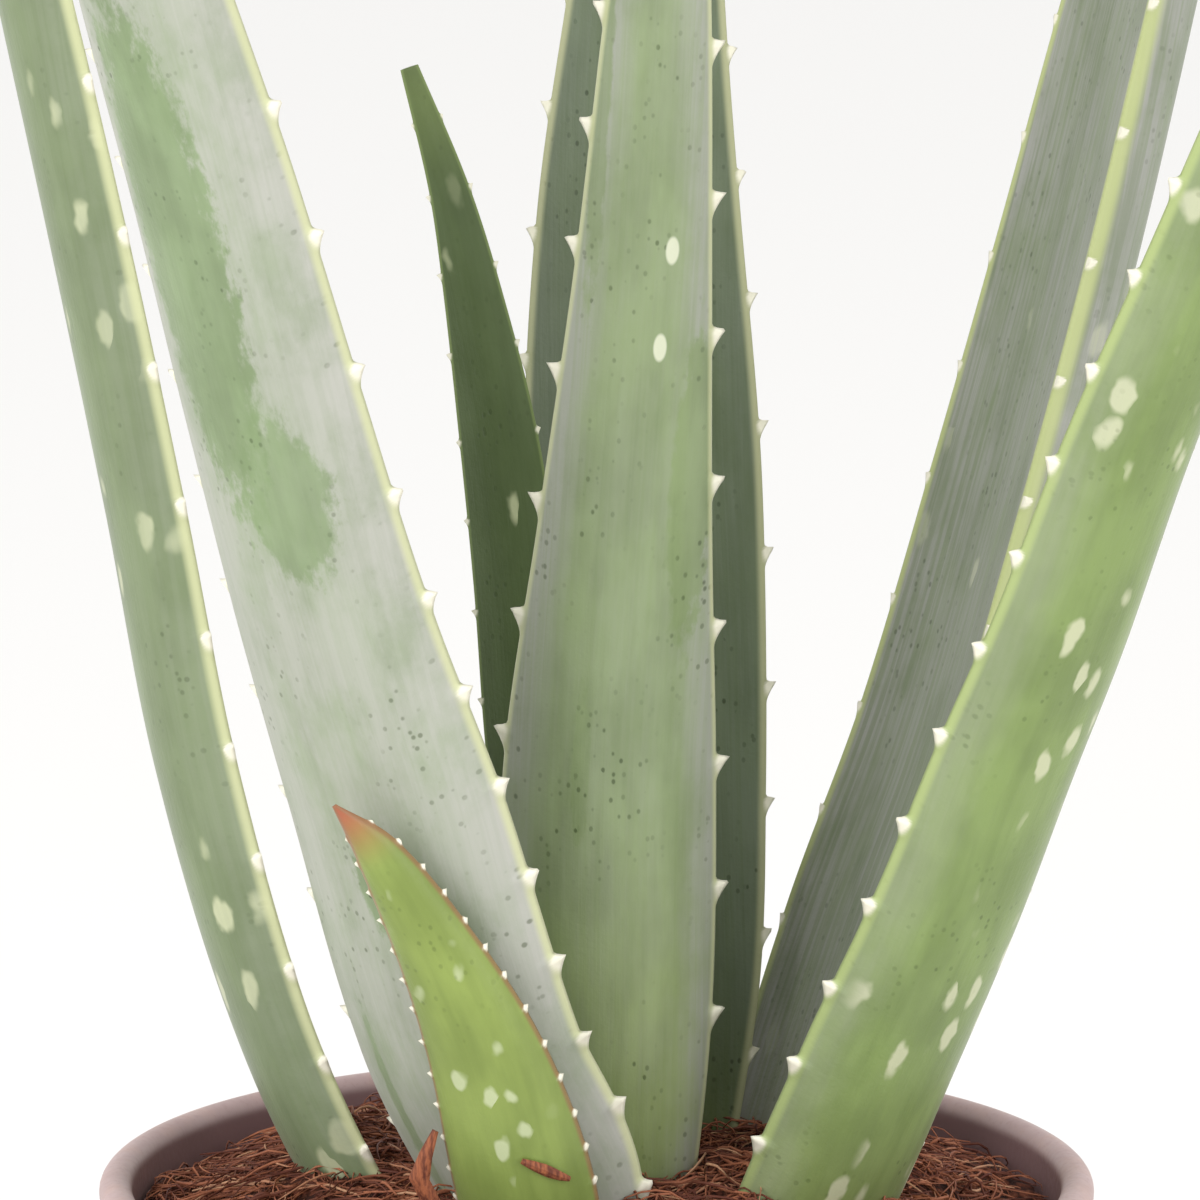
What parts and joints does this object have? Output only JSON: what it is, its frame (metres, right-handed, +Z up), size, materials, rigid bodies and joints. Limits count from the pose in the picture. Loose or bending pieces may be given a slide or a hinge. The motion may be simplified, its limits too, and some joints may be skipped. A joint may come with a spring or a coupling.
{
  "type": "potted aloe plant",
  "caption": "Young aloe with thick, toothed, spotted leaves in a rosette, standing in coir potting mix in a plain round clay pot.",
  "frame": {"origin": "middle of the pot's flat underside", "axes": "+Z up, -Y towards the side with the small spotted leaf, +X to the right seen from there"},
  "size_m": [0.2346, 0.2067, 0.45],
  "materials": {
    "painted_clay": "satin paint on fired clay",
    "coir_mix": "rough, fibrous and damp",
    "crown": "matte, corky",
    "leaf_pale_green": "waxy, thin grey bloom",
    "leaf_grey_bloom": "waxy, heavy grey bloom, rubbed in patches",
    "leaf_green": "waxy, satin",
    "leaf_small_spotted": "waxy, satin, pale spots",
    "leaf_dark": "waxy, thin grey bloom",
    "leaf_young_green": "waxy, satin",
    "leaf_grey_streaked": "waxy, heavy bloom with lengthwise streaks",
    "leaf_spotted": "waxy, satin, pale spots",
    "dry_husk": "dry, papery"
  },
  "bodies": {
    "root": {"pot": "painted_clay", "potting_soil": "coir_mix", "stem": "crown", "leaf_front": "leaf_pale_green", "leaf_left_front": "leaf_grey_bloom", "leaf_left": "leaf_green", "leaf_small_front": "leaf_small_spotted", "leaf_back": "leaf_dark", "leaf_young": "leaf_young_green", "leaf_right_back": "leaf_grey_streaked", "leaf_right_front": "leaf_spotted", "dry_sheath": "dry_husk", "dry_fibre": "dry_husk"}
  },
  "joints": []
}
